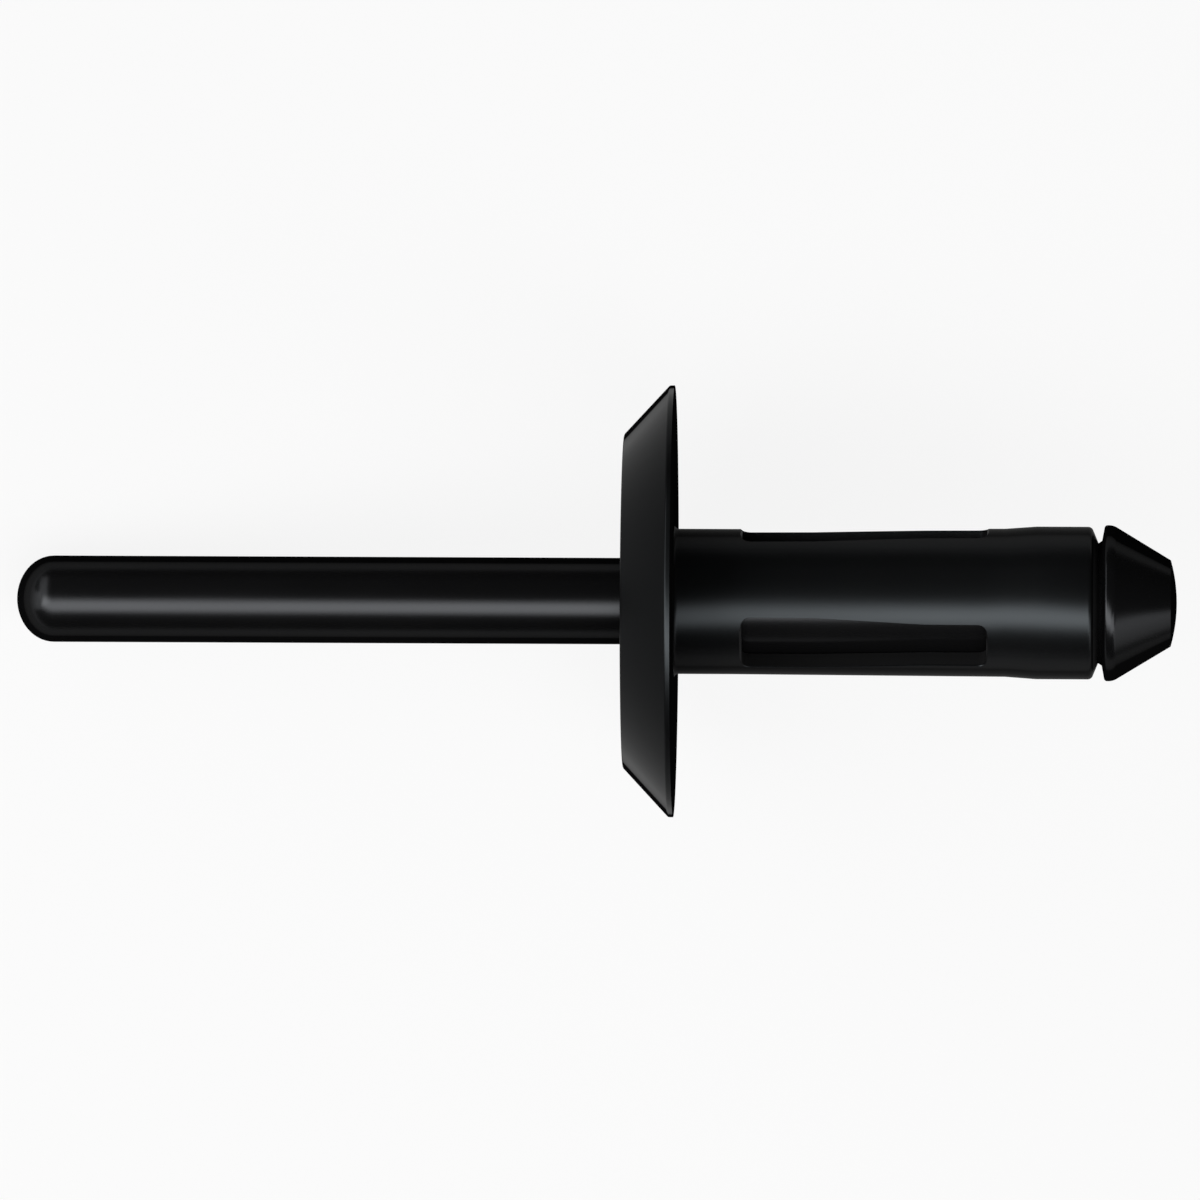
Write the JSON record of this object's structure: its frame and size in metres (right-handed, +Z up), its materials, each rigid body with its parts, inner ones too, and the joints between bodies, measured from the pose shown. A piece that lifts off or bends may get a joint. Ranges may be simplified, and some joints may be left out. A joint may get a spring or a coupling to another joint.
{
  "type": "plastic blind rivet",
  "caption": "Flanged plastic blind rivet: slotted sleeve on a pull mandrel with a smooth stem, a break notch and a tapered head.",
  "frame": {"origin": "centre of the flange's underside, on the rivet's axis", "axes": "+Z up, with the rivet lying on its flange's rim and its stem's end; the axis lies in the XZ plane and slopes up 15.5 degrees towards +X, with the head at the +X end and the stem at the -X end"},
  "size_m": [0.0469, 0.018, 0.0174],
  "materials": {
    "black_nylon_body": "moulded black nylon, satin",
    "black_nylon_mandrel": "moulded black nylon, smooth satin"
  },
  "bodies": {
    "body": {"rivet_body": "black_nylon_body"},
    "mandrel": {"mandrel": "black_nylon_mandrel"}
  },
  "joints": [
    {"name": "mandrel_slide", "type": "slide", "parent": "body", "child": "mandrel", "axis": [0.9634, 0, 0.2681], "range_m": [0, 0.047]}
  ]
}
